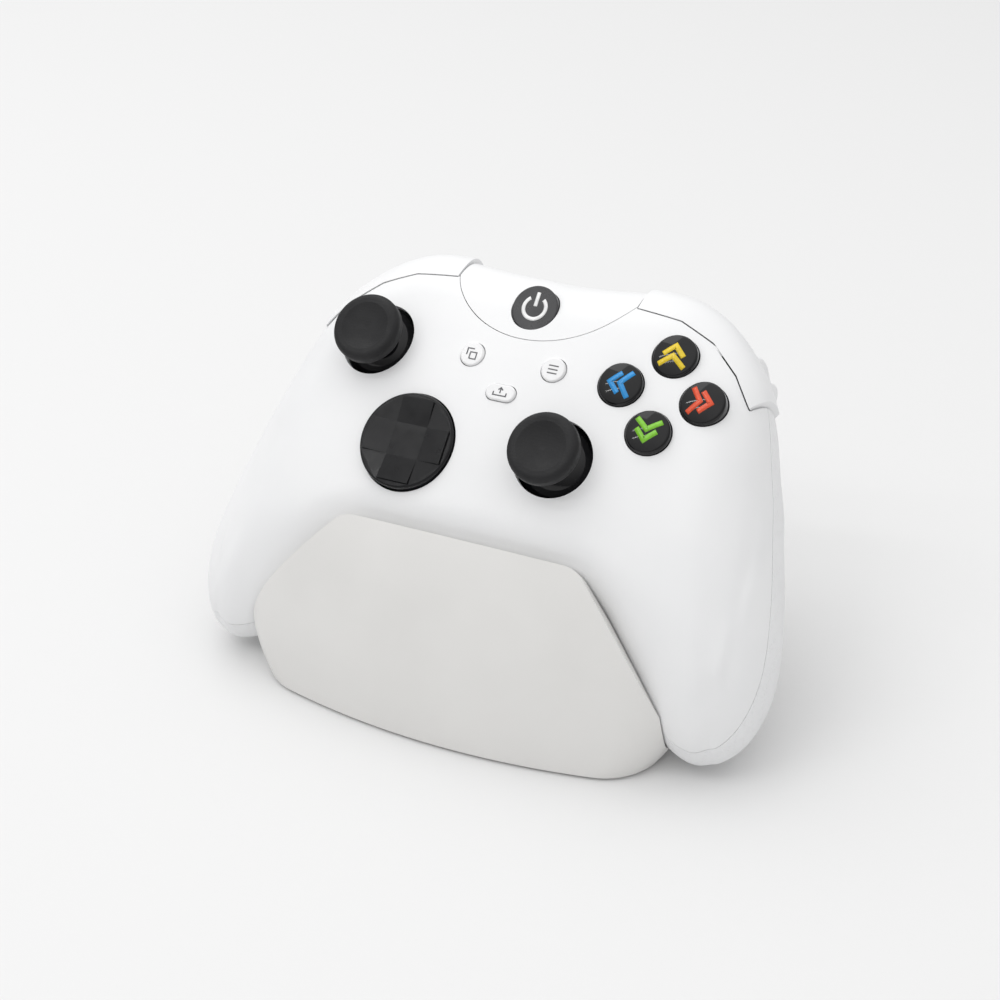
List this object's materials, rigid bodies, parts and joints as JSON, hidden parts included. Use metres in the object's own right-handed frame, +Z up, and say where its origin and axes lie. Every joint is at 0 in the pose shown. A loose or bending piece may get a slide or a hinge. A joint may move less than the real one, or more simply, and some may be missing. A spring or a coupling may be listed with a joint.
{
  "type": "game controller with charging stand",
  "caption": "Wireless game controller with thumbsticks, direction pad, buttons, bumpers and triggers, docked on a solid charging stand with a curved front panel.",
  "frame": {"origin": "centre of the foot pad's underside, on the table", "axes": "+X to the right seen from the front, -Y towards the person facing the controller, +Z up"},
  "size_m": [0.1536, 0.1041, 0.0905],
  "materials": {
    "case_white": "fine matte moulding",
    "grip_white": "fine dotted texture",
    "button_white": "satin",
    "guide_grey": "satin",
    "button_black": "gloss",
    "dpad_black": "gloss",
    "dome_black": "gloss",
    "cap_rubber": "matte rubber",
    "inner_plastic": "matte",
    "switch_metal": "brushed",
    "membrane_rubber": "matte",
    "board_green": "solder mask",
    "battery_black": "wrapped",
    "contact_brass": "plated",
    "steel": "bright",
    "stand_white": "smooth satin",
    "stand_grey": "matte",
    "foot_rubber": "matte"
  },
  "bodies": {
    "stand": {"stand_front_panel": "stand_white", "stand_rear_housing": "stand_white", "stand_base_plate": "stand_grey", "stand_foot_pad": "foot_rubber", "stand_screws": "steel", "stand_usb_port": "switch_metal", "stand_circuit_board": "board_green", "stand_ballast": "steel", "charging_pin_block": "stand_grey"},
    "left_pin": {"left_charging_pin": "contact_brass"},
    "right_pin": {"right_charging_pin": "contact_brass"},
    "controller": {"front_case": "case_white", "top_bridge": "case_white", "back_case": "case_white", "right_grip_cover": "grip_white", "left_grip_cover": "grip_white", "battery_door": "grip_white", "door_contacts": "contact_brass", "trigger_pins": "steel", "trigger_brackets": "switch_metal", "dpad_pivot_base": "inner_plastic", "left_stick_housing": "switch_metal", "right_stick_housing": "switch_metal", "main_board": "board_green", "lower_board": "board_green", "button_membrane": "membrane_rubber", "switch_studs": "membrane_rubber", "battery_pack": "battery_black", "battery_tray": "inner_plastic", "controller_usb_port": "switch_metal", "case_screws": "steel", "grip_motors": "steel", "trigger_motors": "steel"},
    "left_bumper": {"left_bumper": "case_white"},
    "left_trigger": {"left_trigger": "case_white"},
    "right_bumper": {"right_bumper": "case_white"},
    "right_trigger": {"right_trigger": "case_white"},
    "top_button": {"top_button": "button_black"},
    "bottom_button": {"bottom_button": "button_black"},
    "left_button": {"left_button": "button_black"},
    "right_button": {"right_button": "button_black"},
    "view_button": {"view_button": "button_white"},
    "menu_button": {"menu_button": "button_white"},
    "share_button": {"share_button": "button_white"},
    "guide_button": {"guide_button": "guide_grey"},
    "pairing_button": {"pairing_button": "button_white"},
    "dpad_pivot_ring": {"dpad_pivot_ring": "inner_plastic"},
    "dpad": {"dpad": "dpad_black"},
    "left_stick_plunger": {"left_stick_plunger": "inner_plastic"},
    "left_stick_yoke": {"left_stick_yoke": "inner_plastic"},
    "left_stick": {"left_stick_shaft": "dome_black", "left_stick_cap": "cap_rubber"},
    "right_stick_plunger": {"right_stick_plunger": "inner_plastic"},
    "right_stick_yoke": {"right_stick_yoke": "inner_plastic"},
    "right_stick": {"right_stick_shaft": "dome_black", "right_stick_cap": "cap_rubber"},
    "left_grip_rotor": {"left_grip_rotor": "steel"},
    "left_trigger_rotor": {"left_trigger_rotor": "steel"},
    "right_grip_rotor": {"right_grip_rotor": "steel"},
    "right_trigger_rotor": {"right_trigger_rotor": "steel"}
  },
  "joints": [
    {"name": "controller_lift_off", "type": "slide", "parent": "stand", "child": "controller", "axis": [0, 0.7396, 0.673], "range_m": [0, 0.11]},
    {"name": "left_charging_pin_press", "type": "slide", "parent": "stand", "child": "left_pin", "axis": [0, 0.673, -0.7396], "range_m": [0, 0.0004], "stiffness_N_per_m": 150},
    {"name": "right_charging_pin_press", "type": "slide", "parent": "stand", "child": "right_pin", "axis": [0, 0.673, -0.7396], "range_m": [0, 0.0004], "stiffness_N_per_m": 150},
    {"name": "left_bumper_press", "type": "hinge", "parent": "controller", "child": "left_bumper", "pos_m": [-0.0245, 0.0349, 0.0857], "axis": [0.8718, 0.3623, 0.3297], "range_deg": [-1.6, 0], "stiffness_Nm_per_rad": 0.6},
    {"name": "left_trigger_pull", "type": "hinge", "parent": "controller", "child": "left_trigger", "pos_m": [-0.04025, 0.03793, 0.06276], "axis": [1, 0, 0], "range_deg": [-16, 0], "stiffness_Nm_per_rad": 0.12},
    {"name": "right_bumper_press", "type": "hinge", "parent": "controller", "child": "right_bumper", "pos_m": [0.0245, 0.0349, 0.0857], "axis": [0.8718, -0.3623, -0.3297], "range_deg": [-1.6, 0], "stiffness_Nm_per_rad": 0.6},
    {"name": "right_trigger_pull", "type": "hinge", "parent": "controller", "child": "right_trigger", "pos_m": [0.04025, 0.03793, 0.06276], "axis": [1, 0, 0], "range_deg": [-16, 0], "stiffness_Nm_per_rad": 0.12},
    {"name": "top_button_press", "type": "slide", "parent": "controller", "child": "top_button", "axis": [0, -0.673, 0.7396], "range_m": [-0.0012, 0], "stiffness_N_per_m": 400},
    {"name": "bottom_button_press", "type": "slide", "parent": "controller", "child": "bottom_button", "axis": [0, -0.673, 0.7396], "range_m": [-0.0012, 0], "stiffness_N_per_m": 400},
    {"name": "left_button_press", "type": "slide", "parent": "controller", "child": "left_button", "axis": [0, -0.673, 0.7396], "range_m": [-0.0012, 0], "stiffness_N_per_m": 400},
    {"name": "right_button_press", "type": "slide", "parent": "controller", "child": "right_button", "axis": [0, -0.673, 0.7396], "range_m": [-0.0012, 0], "stiffness_N_per_m": 400},
    {"name": "view_button_press", "type": "slide", "parent": "controller", "child": "view_button", "axis": [0, -0.673, 0.7396], "range_m": [-0.0006, 0], "stiffness_N_per_m": 400},
    {"name": "menu_button_press", "type": "slide", "parent": "controller", "child": "menu_button", "axis": [0, -0.673, 0.7396], "range_m": [-0.0006, 0], "stiffness_N_per_m": 400},
    {"name": "share_button_press", "type": "slide", "parent": "controller", "child": "share_button", "axis": [0, -0.673, 0.7396], "range_m": [-0.0006, 0], "stiffness_N_per_m": 400},
    {"name": "guide_button_press", "type": "slide", "parent": "controller", "child": "guide_button", "axis": [0, -0.673, 0.7396], "range_m": [-0.0004, 0], "stiffness_N_per_m": 400},
    {"name": "pairing_button_press", "type": "slide", "parent": "controller", "child": "pairing_button", "axis": [0, 0.7396, 0.673], "range_m": [-0.0006, 0], "stiffness_N_per_m": 400},
    {"name": "dpad_tilt_up_down", "type": "hinge", "parent": "controller", "child": "dpad_pivot_ring", "pos_m": [-0.0197, -0.00237, 0.05801], "axis": [1, 0, 0], "range_deg": [-3, 3], "stiffness_Nm_per_rad": 0.3},
    {"name": "dpad_tilt_sideways", "type": "hinge", "parent": "dpad_pivot_ring", "child": "dpad", "pos_m": [-0.0197, -0.00237, 0.05801], "axis": [0, 0.7396, 0.673], "range_deg": [-3, 3], "stiffness_Nm_per_rad": 0.3},
    {"name": "left_stick_click", "type": "slide", "parent": "controller", "child": "left_stick_plunger", "axis": [0, -0.673, 0.7396], "range_m": [-0.0005, 0], "stiffness_N_per_m": 900},
    {"name": "left_stick_up_down", "type": "hinge", "parent": "left_stick_plunger", "child": "left_stick_yoke", "pos_m": [-0.0382, 0.02199, 0.06823], "axis": [-1, 0, 0], "range_deg": [-15, 15], "stiffness_Nm_per_rad": 0.03},
    {"name": "left_stick_sideways", "type": "hinge", "parent": "left_stick_yoke", "child": "left_stick", "pos_m": [-0.0382, 0.02199, 0.06823], "axis": [0, 0.7396, 0.673], "range_deg": [-15, 15], "stiffness_Nm_per_rad": 0.03},
    {"name": "right_stick_click", "type": "slide", "parent": "controller", "child": "right_stick_plunger", "axis": [0, -0.673, 0.7396], "range_m": [-0.0005, 0], "stiffness_N_per_m": 900},
    {"name": "right_stick_up_down", "type": "hinge", "parent": "right_stick_plunger", "child": "right_stick_yoke", "pos_m": [0.0179, 0.00445, 0.05602], "axis": [-1, 0, 0], "range_deg": [-15, 15], "stiffness_Nm_per_rad": 0.03},
    {"name": "right_stick_sideways", "type": "hinge", "parent": "right_stick_yoke", "child": "right_stick", "pos_m": [0.0179, 0.00445, 0.05602], "axis": [0, 0.7396, 0.673], "range_deg": [-15, 15], "stiffness_Nm_per_rad": 0.03},
    {"name": "left_grip_rotor_spin", "type": "hinge", "parent": "controller", "child": "left_grip_rotor", "pos_m": [-0.0585, -0.01136, 0.02332], "axis": [0, 0.7396, 0.673], "continuous": true},
    {"name": "left_trigger_rotor_spin", "type": "hinge", "parent": "controller", "child": "left_trigger_rotor", "pos_m": [-0.015, 0.04162, 0.06613], "axis": [1, 0, 0], "continuous": true},
    {"name": "right_grip_rotor_spin", "type": "hinge", "parent": "controller", "child": "right_grip_rotor", "pos_m": [0.0585, -0.01136, 0.02332], "axis": [0, 0.7396, 0.673], "continuous": true},
    {"name": "right_trigger_rotor_spin", "type": "hinge", "parent": "controller", "child": "right_trigger_rotor", "pos_m": [0.015, 0.04162, 0.06613], "axis": [1, 0, 0], "continuous": true}
  ]
}
